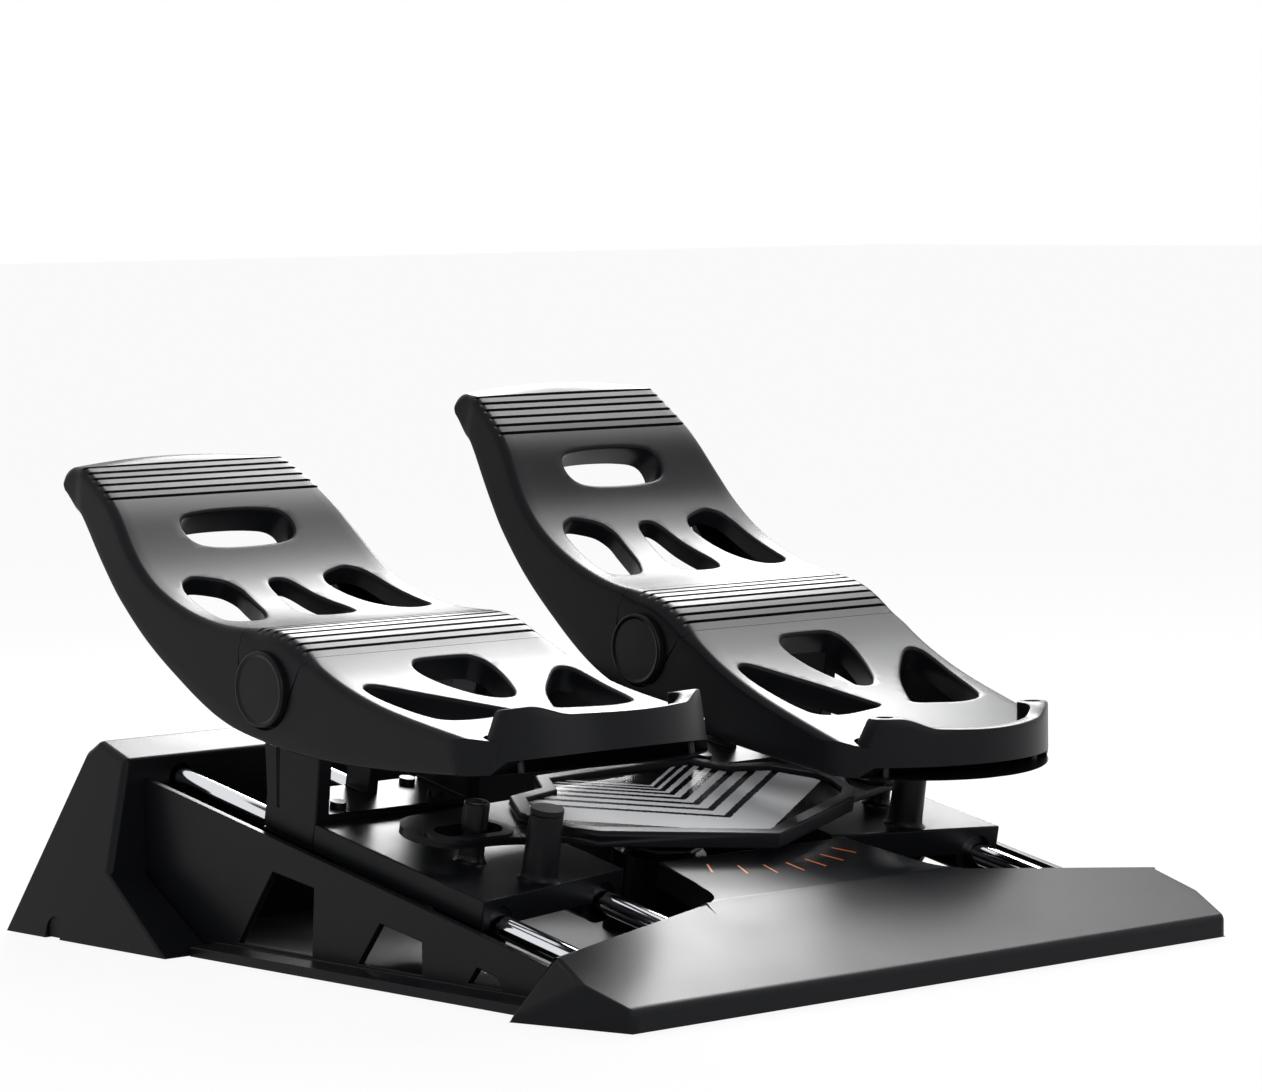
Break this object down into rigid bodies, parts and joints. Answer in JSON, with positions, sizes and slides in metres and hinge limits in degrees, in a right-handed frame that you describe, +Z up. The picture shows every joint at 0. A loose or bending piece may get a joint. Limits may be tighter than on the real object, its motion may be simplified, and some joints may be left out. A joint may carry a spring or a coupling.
{
  "type": "flight simulator rudder pedals",
  "caption": "Floor-standing flight simulator rudder pedals: two tilting pedals on sliding carriages, linked by a central rocker, on sloping rods.",
  "frame": {"origin": "on the floor, under the middle of the whole assembly's box", "axes": "+X to the user's right, +Y away from the user, towards the rear cover, +Z up"},
  "size_m": [0.31, 0.328, 0.1903],
  "materials": {
    "black_plastic": "fine grained satin black",
    "dark_plastic": "satin black",
    "grey_plastic": "plain matte",
    "graphic_plate": "printed black and silver plate",
    "bright_steel": "ground and plated",
    "zinc_steel": "zinc plated",
    "spring_steel": "drawn wire",
    "bronze": "sintered",
    "rubber": "matte",
    "board": "solder mask green"
  },
  "bodies": {
    "base": {"base_frame": "black_plastic", "front_cover": "black_plastic", "rear_cover": "black_plastic", "front_rail_clamp": "dark_plastic", "rear_rail_clamp": "dark_plastic", "rail_clamp_screws": "zinc_steel", "left_outer_rail": "bright_steel", "left_inner_rail": "bright_steel", "right_inner_rail": "bright_steel", "right_outer_rail": "bright_steel", "rubber_feet": "rubber", "cover_screws": "zinc_steel", "circuit_board": "board", "rudder_sensor": "grey_plastic", "centring_spring": "spring_steel", "rocker_bush": "bronze"},
    "rocker": {"rocker_plate": "black_plastic", "rocker_inlay": "graphic_plate", "rocker_bolt": "zinc_steel"},
    "left_carriage": {"left_carriage": "black_plastic", "left_carriage_bushings": "bronze", "left_pedal_bracket": "black_plastic", "left_bracket_screws": "zinc_steel", "left_heel_post": "black_plastic", "left_heel_bumper": "rubber", "left_drive_pin": "dark_plastic", "left_pivot_bushes": "bronze", "left_brake_sensor": "grey_plastic", "left_brake_spring": "spring_steel"},
    "left_pedal": {"left_pedal_shell": "black_plastic", "left_toe_back_cover": "dark_plastic", "left_hinge_cover": "black_plastic", "left_pivot_caps": "dark_plastic", "left_pivot_shaft": "zinc_steel", "left_heel_cup": "black_plastic", "left_cup_screws": "zinc_steel"},
    "right_carriage": {"right_carriage": "black_plastic", "right_carriage_bushings": "bronze", "right_pedal_bracket": "black_plastic", "right_bracket_screws": "zinc_steel", "right_heel_post": "black_plastic", "right_heel_bumper": "rubber", "right_drive_pin": "dark_plastic", "right_pivot_bushes": "bronze", "right_brake_sensor": "grey_plastic", "right_brake_spring": "spring_steel"},
    "right_pedal": {"right_pedal_shell": "black_plastic", "right_toe_back_cover": "dark_plastic", "right_hinge_cover": "black_plastic", "right_pivot_caps": "dark_plastic", "right_pivot_shaft": "zinc_steel", "right_heel_cup": "black_plastic", "right_cup_screws": "zinc_steel"}
  },
  "joints": [
    {"name": "rudder_slide_right", "type": "slide", "parent": "base", "child": "right_carriage", "axis": [0, 0.9808, 0.1949], "range_m": [-0.04036, 0.03564], "stiffness_N_per_m": 220, "springref_m": -0.00236},
    {"name": "rudder_slide_left", "type": "slide", "parent": "base", "child": "left_carriage", "axis": [0, 0.9808, 0.1949], "range_m": [-0.03564, 0.04036]},
    {"name": "rocker_turn", "type": "hinge", "parent": "base", "child": "rocker", "pos_m": [0, -0.02411, 0.04963], "axis": [0, -0.1949, 0.9808], "range_deg": [-22.22, 19.62]},
    {"name": "brake_tilt_left", "type": "hinge", "parent": "left_carriage", "child": "left_pedal", "pos_m": [-0.0891, 0.02252, 0.09836], "axis": [-1, 0, 0], "range_deg": [-9.6, 8.4], "stiffness_Nm_per_rad": 6, "springref_deg": -9.6},
    {"name": "brake_tilt_right", "type": "hinge", "parent": "right_carriage", "child": "right_pedal", "pos_m": [0.0891, 0.02715, 0.09928], "axis": [-1, 0, 0], "range_deg": [0, 18], "stiffness_Nm_per_rad": 6}
  ],
  "couplings": [
    {"joint": "rudder_slide_left", "follows": "rudder_slide_right", "ratio": -1},
    {"joint": "rocker_turn", "follows": "rudder_slide_right", "rad_per_m": 9.5993}
  ]
}
